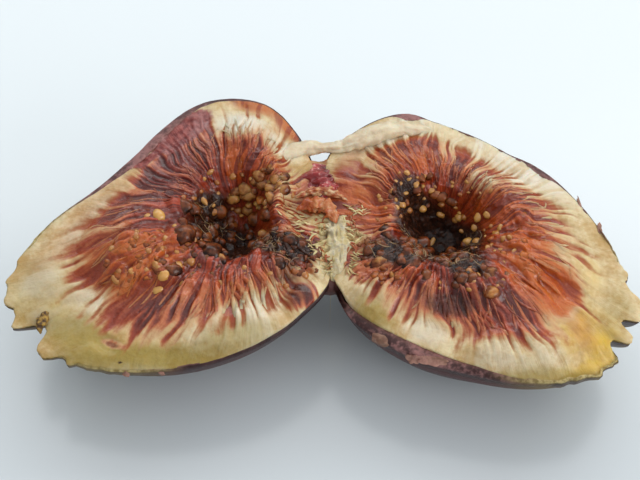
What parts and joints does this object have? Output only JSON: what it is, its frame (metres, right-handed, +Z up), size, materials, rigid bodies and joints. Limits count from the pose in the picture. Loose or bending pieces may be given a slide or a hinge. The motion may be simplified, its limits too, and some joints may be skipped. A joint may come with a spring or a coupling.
{
  "type": "fresh fig",
  "caption": "Fresh fig torn open by hand into halves that stay joined at the eye, lying on its skin with the red pulp and the pale wall showing.",
  "frame": {"origin": "on the surface the fig lies on, under the middle of its outline", "axes": "+X along the spread fig from the left half's stem end to the right half's, +Y away from the viewer, +Z up, the way the torn faces look"},
  "size_m": [0.1066, 0.0554, 0.0261],
  "materials": {
    "skin": "thin purple fruit skin with a faint bloom, satin",
    "wall": "moist pale cream fruit flesh, satin",
    "pulp": "wet red fruit pulp, glossy"
  },
  "bodies": {
    "root": {"skin": "skin", "wall": "wall", "pulp_left": "pulp", "pulp_right": "pulp"}
  },
  "joints": []
}
